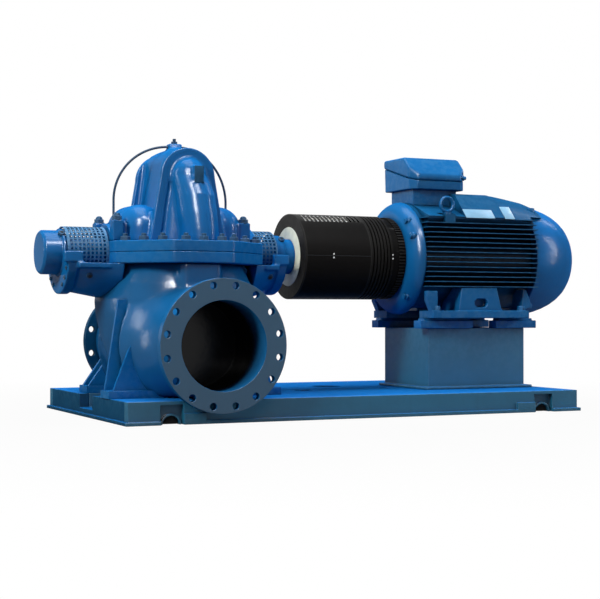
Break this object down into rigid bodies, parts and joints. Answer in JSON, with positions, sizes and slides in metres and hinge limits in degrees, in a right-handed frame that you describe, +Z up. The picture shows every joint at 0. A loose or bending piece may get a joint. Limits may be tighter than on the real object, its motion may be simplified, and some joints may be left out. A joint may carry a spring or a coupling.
{
  "type": "split case pump",
  "caption": "Horizontal split case double suction pump with side flanges, coupling guard and foot-mounted ribbed electric motor on a pedestal, all on one steel base.",
  "frame": {"origin": "on the floor at the middle of the base's length, straight under the shaft", "axes": "+X along the shaft from the pump to the motor, +Y from the suction side to the discharge side, +Z up"},
  "size_m": [2.481, 1.209, 1.154],
  "materials": {
    "blue_enamel": "semi-gloss blue enamel over rough iron castings",
    "base_blue": "semi-gloss bright blue enamel on plate and beam",
    "motor_blue": "semi-gloss blue enamel on a ribbed iron motor",
    "mesh_blue": "blue painted perforated sheet",
    "guard_black": "satin brown-black moulded guard",
    "guard_grey": "dull dark grey guard end",
    "liner_cream": "pale cream seal ring",
    "dark_fitting": "dark blue-grey small fittings"
  },
  "bodies": {
    "root": {"base_deck": "base_blue", "base_front_wall": "base_blue", "base_rear_wall": "base_blue", "base_left_wall": "base_blue", "base_right_wall": "base_blue", "base_trough": "base_blue", "pump_lower_casing": "blue_enamel", "suction_nozzle": "blue_enamel", "discharge_nozzle": "blue_enamel", "lower_split_flange": "blue_enamel", "upper_split_flange": "blue_enamel", "pump_upper_casing": "blue_enamel", "foot_front_left": "blue_enamel", "foot_rear_left": "blue_enamel", "foot_front_right": "blue_enamel", "foot_rear_right": "blue_enamel", "bracket_outboard": "blue_enamel", "bracket_inboard": "blue_enamel", "bearing_outboard": "blue_enamel", "bearing_inboard": "blue_enamel", "seal_mesh_outboard": "mesh_blue", "seal_mesh_inboard": "mesh_blue", "vent_plug": "dark_fitting", "flush_tube_left": "dark_fitting", "flush_tube_right": "dark_fitting", "guard_shell": "guard_black", "guard_bellows": "guard_black", "guard_end_ring": "guard_grey", "guard_end_liner": "liner_cream", "pedestal": "blue_enamel", "slab_front_left": "blue_enamel", "slab_front_right": "blue_enamel", "slab_rear_left": "blue_enamel", "slab_rear_right": "blue_enamel", "motor_frame": "motor_blue", "motor_drive_end": "motor_blue", "motor_fan_cowl": "motor_blue", "motor_foot_front": "motor_blue", "motor_foot_rear": "motor_blue", "terminal_plinth": "motor_blue", "terminal_box": "motor_blue", "terminal_lid": "motor_blue", "motor_eye": "motor_blue"}
  },
  "joints": []
}
